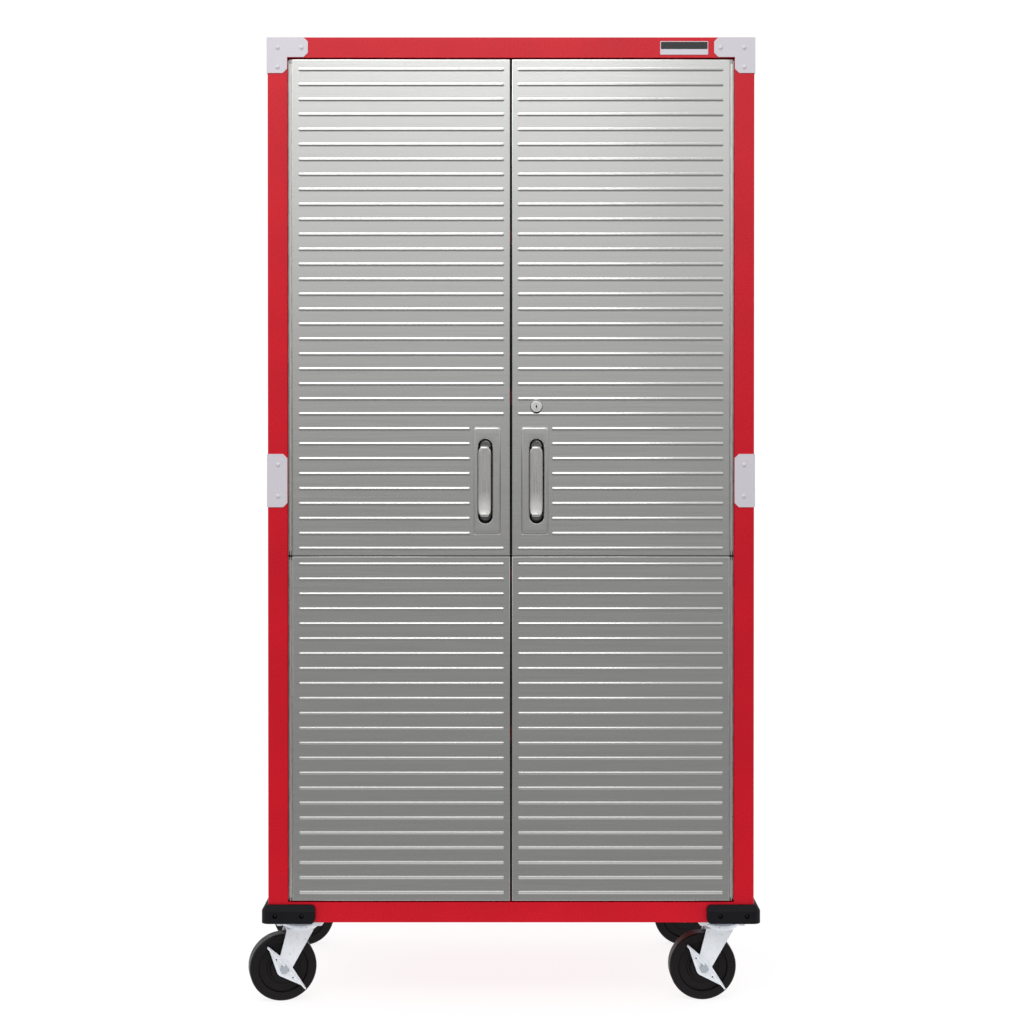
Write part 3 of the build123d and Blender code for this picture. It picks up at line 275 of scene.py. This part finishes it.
def door_skin(low, high, first, count, has_handle, side, name, replaced):
    """Right hand door skin between two heights, mirrored for the left door."""
    bm = bmesh.new()
    bmesh.ops.create_grid(bm, x_segments=1, y_segments=1, size=0.5)
    bmesh.ops.rotate(bm, verts=bm.verts, cent=(0, 0, 0), matrix=Matrix.Rotation(pi / 2, 3, "X"))
    bmesh.ops.scale(bm, verts=bm.verts, vec=(door_outer - door_inner, 1, high - low))
    bmesh.ops.translate(
        bm, verts=bm.verts, vec=((door_outer + door_inner) / 2, front_y, (low + high) / 2))
    folds = bm.edges[:]
    back = bmesh.ops.extrude_edge_only(bm, edges=folds)["geom"]
    bmesh.ops.translate(
        bm, verts=[item for item in back if isinstance(item, bmesh.types.BMVert)],
        vec=(0, return_depth, 0))
    bmesh.ops.bevel(
        bm, geom=folds, offset=fold_radius, offset_type="OFFSET", segments=3, profile=0.5,
        affect="EDGES", material=-1)
    bmesh.ops.recalc_face_normals(bm, faces=bm.faces)
    if sum(face.calc_area() * face.normal.y for face in bm.faces) > 0:
        bmesh.ops.reverse_faces(bm, faces=bm.faces)
    for spot, normal in (
        ((0, 0, high - fold_support), (0, 0, 1)), ((0, 0, low + fold_support), (0, 0, 1)),
        ((door_inner + fold_support, 0, 0), (1, 0, 0)), ((door_outer - fold_support, 0, 0), (1, 0, 0)),
    ):
        bmesh.ops.bisect_plane(bm, geom=front_faces(bm), plane_co=spot, plane_no=normal)
    ribs = []
    for number in range(count):
        row = high - first - rib_pitch * number
        beside = has_handle and abs(row - handle_z) < pad_size[1] / 2
        ribs.append((rib_short_end if beside else rib_inner_end, row))
    for _, row in ribs:
        for step in rib_steps:
            bmesh.ops.bisect_plane(
                bm, geom=front_faces(bm), plane_co=(0, 0, row + step * rib_half), plane_no=(0, 0, 1))
    ends = [(rib_inner_end, -1), (rib_outer_end, 1)]
    if has_handle:
        ends.append((rib_short_end, -1))
    for end, outwards in ends:
        for step in [step for step in rib_steps if step >= 0]:
            bmesh.ops.bisect_plane(
                bm, geom=front_faces(bm), plane_co=(end + outwards * step * rib_half, 0, 0),
                plane_no=(1, 0, 0))
    for vert in bm.verts:
        if vert.co.y > front_y + face_slack:
            continue
        for start, row in ribs:
            across = vert.co.z - row
            if abs(across) > rib_half:
                continue
            beyond = max(start - vert.co.x, vert.co.x - rib_outer_end, 0)
            reach = (across**2 + beyond**2) ** 0.5 / rib_half
            if reach < 1:
                vert.co.y -= rib_rise * 0.5 * (1 + cos(pi * reach))
    if has_handle:
        half_w = pad_size[0] / 2 - hole_inset
        half_h = pad_size[1] / 2 - hole_inset
        for offset, normal in (
            ((handle_x - half_w, 0, 0), (1, 0, 0)), ((handle_x + half_w, 0, 0), (1, 0, 0)),
            ((0, 0, handle_z - half_h), (0, 0, 1)), ((0, 0, handle_z + half_h), (0, 0, 1)),
        ):
            bmesh.ops.bisect_plane(bm, geom=front_faces(bm), plane_co=offset, plane_no=normal)
        under_pad = [
            face for face in bm.faces
            if abs(face.calc_center_median().x - handle_x) < half_w
            and abs(face.calc_center_median().z - handle_z) < half_h
            and face.calc_center_median().y < front_y + face_slack]
        bmesh.ops.delete(bm, geom=under_pad, context="FACES")
    if side < 0:
        bmesh.ops.mirror(bm, geom=bm.verts[:] + bm.edges[:] + bm.faces[:], axis="X")
        bmesh.ops.delete(bm, geom=[vert for vert in bm.verts if vert.co.x > 0], context="VERTS")
    finish_piece(
        bm, name, brushed, "left_door" if side < 0 else "right_door", replaced,
        smooth_angle=50)


for side, hand in ((-1, "left"), (1, "right")):
    for level, sizes in skins.items():
        door_skin(*sizes, side, f"{hand}_{level}_ribbed_skin", [f"{hand}_{level}_door_skin"])

# Handle pads: the door skin is embossed round each pull, in a soft edged rectangle whose slot
# has a rolled edge. The brushing of the sheet runs across it.
pull_x = 48.25
pull_size = (26.0, 158.0)
pad_spread = 4.8
loop_corners = 48
# Soft edge of the pad: inset from its outline, corner radius and depth. Each step differs in depth.
pad_steps = [
    (0.0, 5.0, 0.1), (0.7, 4.8, -0.8), (1.6, 4.4, -1.8), (2.6, 3.8, -2.55), (3.6, 3.2, -2.9),
    (4.2, 3.0, -2.95), (4.8, 2.8, -2.97)]
# Rolled edge of the slot: distance out from the slot and depth.
rim_steps = [
    (2.6, -3.0), (2.0, -2.98), (1.5, -2.9), (1.0, -2.65), (0.5, -2.15), (0.15, -1.5), (0.0, -0.8),
    (-0.1, 0.2)]


def rounded_loop(bm, width, height, radius, y, middle):
    """Rounded rectangle of edges that faces the front, with its corner points in a steady order."""
    turn = Matrix.Rotation(pi / 2, 4, "X") @ Matrix.Rotation(pi / loop_corners, 4, "Z")
    made = bmesh.ops.create_circle(bm, segments=loop_corners, radius=radius, matrix=turn)["verts"]
    edges = list({edge for vert in made for edge in vert.link_edges})
    for vert in made:
        vert.co.x += (1 if vert.co.x > 0 else -1) * (width / 2 - radius) + middle[0]
        vert.co.z += (1 if vert.co.z > 0 else -1) * (height / 2 - radius) + middle[1]
        vert.co.y = y
    return edges


def slot_loops(steps, middle):
    """Loops round the handle's slot, from pairs of distance out and depth."""
    return [
        (pull_size[0] + 2 * out, pull_size[1] + 2 * out, pull_size[0] / 2 + out, depth, middle)
        for out, depth in steps]


def stack_loops(bm, loops):
    """Join loops, each given as width, height, radius, depth behind the door face and middle."""
    last = None
    for width, height, radius, depth, middle in loops:
        edges = rounded_loop(bm, width, height, radius, front_y + depth, middle)
        if last:
            bmesh.ops.bridge_loops(bm, edges=last + edges)
        last = edges
    return last


for side, hand in ((-1, "left"), (1, "right")):
    pad_middle = (side * handle_x, handle_z)
    bm = bmesh.new()
    stack_loops(bm, [
        (pad_size[0] - 2 * inset, pad_size[1] + pad_spread - 2 * inset, radius, depth, pad_middle)
        for inset, radius, depth in pad_steps
    ] + slot_loops(rim_steps, (side * pull_x, handle_z)))
    finish_piece(bm, hand + "_handle_pad", brushed, hand + "_door", (), smooth_angle=60)

# Pull handles: a cup deep drawn in steel behind each slot, and a bent bar brazed to its floor.
# The bar is nickel plated and lightly satined. The cup's colour is darkened as painted shade for the
# inside of the recess.
nickel = empty_material("satin_nickel_plate")
place = put(nickel, "ShaderNodeTexCoord")
draw_lines = put(nickel, "ShaderNodeMapping", {
    "Vector": place.outputs["Object"], "Scale": (1 / (1.2 * mm), 1 / (1.2 * mm), 1 / (60 * mm))})
drawn = put(nickel, "ShaderNodeTexNoise", {
    "Vector": draw_lines.outputs["Vector"], "Scale": 1.0, "Detail": 3.0})
nickel_tone = put(nickel, "ShaderNodeMix", {
    "Factor": drawn.outputs["Fac"], 6: linear("#BDBCBA"), 7: linear("#D4D3D0")}, data_type="RGBA")
nickel_gloss = put(nickel, "ShaderNodeMapRange", {
    "Value": drawn.outputs["Fac"], "From Min": 0.3, "From Max": 0.7, "To Min": 0.24, "To Max": 0.34})
nickel_plate = put(nickel, "ShaderNodeBsdfPrincipled", {
    "Base Color": nickel_tone.outputs[2], "Metallic": 1.0, "Roughness": nickel_gloss.outputs[0]})
put(nickel, "ShaderNodeOutputMaterial", {"Surface": nickel_plate.outputs["BSDF"]})
shaded_cup_steel = empty_material("deep_drawn_steel_painted_shade")
place = put(shaded_cup_steel, "ShaderNodeTexCoord")
draw_marks = put(shaded_cup_steel, "ShaderNodeTexNoise", {
    "Vector": place.outputs["Object"], "Scale": 1 / (5 * mm), "Detail": 3.0})
cup_gloss = put(shaded_cup_steel, "ShaderNodeMapRange", {
    "Value": draw_marks.outputs["Fac"], "From Min": 0.3, "From Max": 0.7, "To Min": 0.2, "To Max": 0.32})
# Dark base colour: painted shade for the inside of the recess behind the slot.
cup_skin_painted_shade = put(shaded_cup_steel, "ShaderNodeBsdfPrincipled", {
    "Base Color": linear("#747474"), "Metallic": 1.0, "Roughness": cup_gloss.outputs[0]})
put(shaded_cup_steel, "ShaderNodeOutputMaterial", {"Surface": cup_skin_painted_shade.outputs["BSDF"]})
cup_depth = 16.0
cup_steps = [(-0.1, 0.0), (-0.2, 8.0), (-0.8, 13.0), (-2.6, 15.3), (-6.0, cup_depth)]
bar_size = (24.4, 10.0)
bar_stand = 22.0
bar_face_y = front_y - bar_stand
bar_ends = (-67.0, 66.0)
bar_bend = 2.5
end_width = 0.66
end_share = 0.4
end_run = 13.0
lip_run = 9.0
lip_slope = 0.36
lean_run = 46.0
lean_slope = 0.13
cup_floor_y = front_y + cup_depth
bar_x = {"left": -49.4, "right": 47.2}
bar_steps = 8
ring_points = 32
for side, hand in ((-1, "left"), (1, "right")):
    bm = bmesh.new()
    floor_edges = stack_loops(bm, slot_loops(cup_steps, (side * pull_x, handle_z)))
    bmesh.ops.holes_fill(bm, edges=floor_edges)
    finish_piece(
        bm, hand + "_drawn_cup", shaded_cup_steel, hand + "_door", [hand + "_pull_cup"],
        smooth_angle=60)
    bm = bmesh.new()
    # Stations of the bar: depth and height of its middle line, the way its outer face looks, and
    # its width and thickness as shares. Its face leans back from a lip at the foot, both ends
    # narrow to a round and turn sharply into the cup.
    half_end = end_share * bar_size[1] / 2
    low, high = bar_ends[0] + half_end, bar_ends[1] - half_end
    stations = [(cup_floor_y, low, 0.0, end_width, end_share)]
    for step in range(bar_steps):
        turn = pi / 2 * step / bar_steps
        stations.append((
            bar_face_y + half_end + bar_bend * (1 - sin(turn)), low + bar_bend * (1 - cos(turn)),
            turn, end_width, end_share))
    face_y = bar_face_y
    run = high - low - 2 * bar_bend
    run_steps = int(run)
    for step in range(run_steps + 1):
        rise = run * step / run_steps
        slope = lean_slope * max(1 - rise / lean_run, 0)
        slope += (lip_slope - lean_slope) * max(1 - rise / lip_run, 0)
        face_y += slope * run / run_steps if step else 0
        near = max(1 - min(rise, run - rise) / end_run, 0)
        round_off = (1 - near**2) ** 0.5
        wide = end_width + (1 - end_width) * round_off
        thick = end_share + (1 - end_share) * round_off
        stations.append((
            face_y + thick * bar_size[1] / 2, low + bar_bend + rise, pi / 2 + slope, wide, thick))
    for step in range(1, bar_steps + 1):
        turn = pi / 2 * (1 + step / bar_steps)
        stations.append((
            face_y + half_end + bar_bend * (1 - sin(turn)), high - bar_bend * (1 + cos(turn)),
            turn, end_width, end_share))
    stations.append((cup_floor_y, high, pi, end_width, end_share))
    last = None
    for y, z, turn, share, thin in stations:
        across = Matrix((
            (share * bar_size[0] / 2, 0, 0, bar_x[hand]),
            (0, -sin(turn) * thin * bar_size[1] / 2, -cos(turn), y),
            (0, -cos(turn) * thin * bar_size[1] / 2, sin(turn), handle_z + z),
            (0, 0, 0, 1)))
        ring = bmesh.ops.create_circle(bm, segments=ring_points, radius=1, matrix=across)["verts"]
        edges = list({edge for vert in ring for edge in vert.link_edges})
        if last:
            bmesh.ops.bridge_loops(bm, edges=last + edges)
        last = edges
    finish_piece(
        bm, hand + "_bent_bar", nickel, hand + "_door", [hand + "_pull_bar"],
        smooth_angle=60)

# Cam lock: a housing and a plug turned in brass and chrome plated.
# The housing is held by a nut behind the door.
chrome = empty_material("chrome_plate")
place = put(chrome, "ShaderNodeTexCoord")
handled = put(chrome, "ShaderNodeTexNoise", {
    "Vector": place.outputs["Object"], "Scale": 1 / (3 * mm), "Detail": 3.0})
chrome_gloss = put(chrome, "ShaderNodeMapRange", {
    "Value": handled.outputs["Fac"], "From Min": 0.3, "From Max": 0.7, "To Min": 0.08, "To Max": 0.18})
chrome_plate = put(chrome, "ShaderNodeBsdfPrincipled", {
    "Base Color": linear("#EDEDEB"), "Metallic": 0.5, "Roughness": chrome_gloss.outputs[0]})
put(chrome, "ShaderNodeOutputMaterial", {"Surface": chrome_plate.outputs["BSDF"]})
dress(["lock_housing", "lock_plug"], chrome)
# A dark piece set in the plug's keyway as painted shade, and a dark ring under the housing's head,
# sagged downwards, as painted shadow.
lock_middle = (47.75, 1128.2)
dark_keyway_size = (1.4, 6.6)
dark_keyway_corner = 0.4
key_hole = 3.0
key_hole_back = 0.2
dark_keyway_y = front_y - 3.4
shadow_ring_outer = 23.0
shadow_ring_inner = 19.0
shadow_ring_rise = 1.2
shadow_ring_lip = 0.1
shadow_ring_sag = 0.5
# Painted shade in the keyway: a dark slot shape and a dark round, set inside the plug.
bm = bmesh.new()
for size, radius, back in (
    (dark_keyway_size, dark_keyway_corner, 0.0), ((key_hole, key_hole), key_hole / 2, key_hole_back),
):
    dark_keyway_edges = rounded_loop(bm, size[0], size[1], radius, dark_keyway_y + back, lock_middle)
    bmesh.ops.holes_fill(bm, edges=dark_keyway_edges)
finish_piece(bm, "keyway_painted_shade", oxide_black_and_painted_shade, "lock", ())
# Painted shadow under the lock's head: a dark ring, set lower than the head so that more of it shows
# below.
shadow_ring_middle = (lock_middle[0], lock_middle[1] - shadow_ring_sag)
bm = bmesh.new()
stack_loops(bm, [(width, width, width / 2, depth, shadow_ring_middle) for width, depth in (
    (shadow_ring_outer, 0.0), (shadow_ring_outer, -shadow_ring_rise), (shadow_ring_inner, -shadow_ring_rise - shadow_ring_lip))])
finish_piece(bm, "lock_painted_shadow_ring", oxide_black_and_painted_shade, "right_door", ())

# Continuous hinges: strips of steel rolled into a knuckle every inch, round a long drawn pin.
# They are plated like the bars of the pulls.
dress(["hinge_frame_leaves", "left_hinge_leaves", "right_hinge_leaves", "hinge_pins"], nickel)

# Magnetic catches: cases moulded in black ABS, screwed under the roof lip.
# The mould is spark eroded, which leaves a fine grain.
catch_abs = empty_material("black_abs")
place = put(catch_abs, "ShaderNodeTexCoord")
spark = put(catch_abs, "ShaderNodeTexNoise", {
    "Vector": place.outputs["Object"], "Scale": 1 / (1.0 * mm), "Detail": 2.0})
spark_bump = put(catch_abs, "ShaderNodeBump", {
    "Height": spark.outputs["Fac"], "Strength": 0.3, "Distance": 0.1 * mm})
abs_skin = put(catch_abs, "ShaderNodeBsdfPrincipled", {
    "Base Color": linear("#1C1C1D"), "Roughness": 0.5, "Normal": spark_bump.outputs["Normal"]})
put(catch_abs, "ShaderNodeOutputMaterial", {"Surface": abs_skin.outputs["BSDF"]})
dress(["magnetic_catches"], catch_abs)

# Name plate: a small pressed aluminium plate glued to the top rail, left blank.
# Its upper band is enamelled black and its lower band stays satin.
plate_low = (280.0, 1788.0)
plate_high = (370.0, 1813.5)
band_height = 1798.5
band_margin = 1.2
plate_rise = 1.2
band_rise = 1.5
plate_corner = 1.6
plate_edge = 0.4
enamel = empty_material("black_enamel")
place = put(enamel, "ShaderNodeTexCoord")
flow = put(enamel, "ShaderNodeTexNoise", {
    "Vector": place.outputs["Object"], "Scale": 1 / (5 * mm), "Detail": 2.0})
enamel_gloss = put(enamel, "ShaderNodeMapRange", {
    "Value": flow.outputs["Fac"], "From Min": 0.3, "From Max": 0.7, "To Min": 0.2, "To Max": 0.3})
enamel_skin = put(enamel, "ShaderNodeBsdfPrincipled", {
    "Base Color": linear("#17181C"), "Roughness": enamel_gloss.outputs[0]})
put(enamel, "ShaderNodeOutputMaterial", {"Surface": enamel_skin.outputs["BSDF"]})
for name, low, high, rise, material in (
    ("blank_plate", plate_low, plate_high, plate_rise, silver_paint),
    ("blank_plate_band", (plate_low[0] + band_margin, band_height),
     (plate_high[0] - band_margin, plate_high[1] - band_margin), band_rise, enamel),
):
    middle = ((low[0] + high[0]) / 2, (low[1] + high[1]) / 2)
    size = (high[0] - low[0], high[1] - low[1])
    bm = bmesh.new()
    top_edges = stack_loops(bm, [
        (*size, plate_corner, 0.0, middle), (*size, plate_corner, plate_edge - rise, middle),
        (size[0] - 2 * plate_edge, size[1] - 2 * plate_edge, plate_corner - plate_edge, -rise, middle)])
    bmesh.ops.holes_fill(bm, edges=top_edges)
    finish_piece(bm, name, material, "cabinet", (), smooth_angle=30)

# Floor: white backlit paper under the cabinet, which fades to grey in front of it.
# The doors mirror that grey, so that their lower halves are darker than the upper ones.
floor_half = 30
fade_grey = -0.75
fade_white = -0.34
floor_mesh = bmesh.new()
bmesh.ops.create_grid(floor_mesh, x_segments=1, y_segments=1, size=floor_half)
floor_data = bpy.data.meshes.new("floor")
floor_mesh.to_mesh(floor_data)
floor_mesh.free()
floor = bpy.data.objects.new("floor", floor_data)
scene.collection.objects.link(floor)
floor_paper = empty_material("floor_paper")
place = put(floor_paper, "ShaderNodeTexCoord")
apart = put(floor_paper, "ShaderNodeSeparateXYZ", {"Vector": place.outputs["Object"]})
fade = put(floor_paper, "ShaderNodeMapRange", {
    "Value": apart.outputs["Y"], "From Min": fade_grey, "From Max": fade_white},
    interpolation_type="SMOOTHSTEP")
floor_tone = put(floor_paper, "ShaderNodeMix", {
    "Factor": fade.outputs[0], 6: linear("#9A9A9A"), 7: linear("#FFFFFF")}, data_type="RGBA")
paper = put(floor_paper, "ShaderNodeBsdfDiffuse", {"Color": floor_tone.outputs[2]})
lit_paper = put(floor_paper, "ShaderNodeEmission", {"Color": floor_tone.outputs[2], "Strength": 1.04})
backlit = put(floor_paper, "ShaderNodeMixShader", {
    "Fac": 0.82, 1: paper.outputs["BSDF"], 2: lit_paper.outputs["Emission"]})
put(floor_paper, "ShaderNodeOutputMaterial", {"Surface": backlit.outputs["Shader"]})
floor_data.materials.append(floor_paper)

# Studio light: walls that are brightest a little above the horizon, white behind the cabinet,
# and one large softbox high in front.
low_level = 0.34
top_level = 1.0
back_level = 1.08
wall_levels = [(0.50, 0.30), (0.53, 0.54), (0.56, 1.02), (0.60, 1.5), (0.64, 1.1), (0.72, 0.9)]
world = bpy.data.worlds.new("studio")
scene.world = world
world.use_nodes = True
world.node_tree.nodes.clear()
place = put(world, "ShaderNodeTexCoord")
apart = put(world, "ShaderNodeSeparateXYZ", {"Vector": place.outputs["Generated"]})
height = put(world, "ShaderNodeMapRange", {
    "Value": apart.outputs["Z"], "From Min": -1.0, "From Max": 1.0})
front_wall = put(world, "ShaderNodeValToRGB", {"Fac": height.outputs[0]})
stops = front_wall.color_ramp.elements
stops[0].position = 0.0
stops[0].color = (low_level, low_level, low_level, 1)
stops[1].position = 1.0
stops[1].color = (top_level, top_level, top_level, 1)
for spot, level in wall_levels:
    stop = stops.new(spot)
    stop.color = (level, level, level, 1)
behind = put(world, "ShaderNodeMapRange", {
    "Value": apart.outputs["Y"], "From Min": -0.25, "From Max": 0.35}, interpolation_type="SMOOTHSTEP")
wall = put(world, "ShaderNodeMix", {
    "Factor": behind.outputs[0], 6: front_wall.outputs["Color"],
    7: (back_level, back_level, back_level, 1)}, data_type="RGBA")
sky = put(world, "ShaderNodeBackground", {"Color": wall.outputs[2], "Strength": 1.0})
put(world, "ShaderNodeOutputWorld", {"Surface": sky.outputs["Background"]})

lamp_spot = (-0.7, -2.3, 3.1)
lamp_target = (0, 0, 1.2)
lamp = bpy.data.lights.new("overhead_softbox", "AREA")
lamp.shape = "RECTANGLE"
lamp.size, lamp.size_y = 2.6, 1.0
lamp.energy = 32
lamp_holder = bpy.data.objects.new("overhead_softbox", lamp)
lamp_holder.location = lamp_spot
lamp_aim = Vector(lamp_target) - Vector(lamp_spot)
lamp_holder.rotation_euler = lamp_aim.to_track_quat("-Z", "Y").to_euler()
scene.collection.objects.link(lamp_holder)

# Camera: straight in front, a little above the middle, tilted down by a third of a degree.
# The shift lifts the cabinet in the frame as the photograph does.
camera_spot = (1.9 * mm, -3572.8 * mm, 1085 * mm)
camera_tilt = 0.373
camera = bpy.data.cameras.new("camera")
camera.sensor_width = 36
camera.lens = 62.56
camera.shift_y = -0.0693
camera_holder = bpy.data.objects.new("camera", camera)
camera_holder.location = camera_spot
camera_holder.rotation_euler = (radians(90 - camera_tilt), 0, 0)
scene.collection.objects.link(camera_holder)
scene.camera = camera_holder
scene.view_settings.view_transform = "Standard"
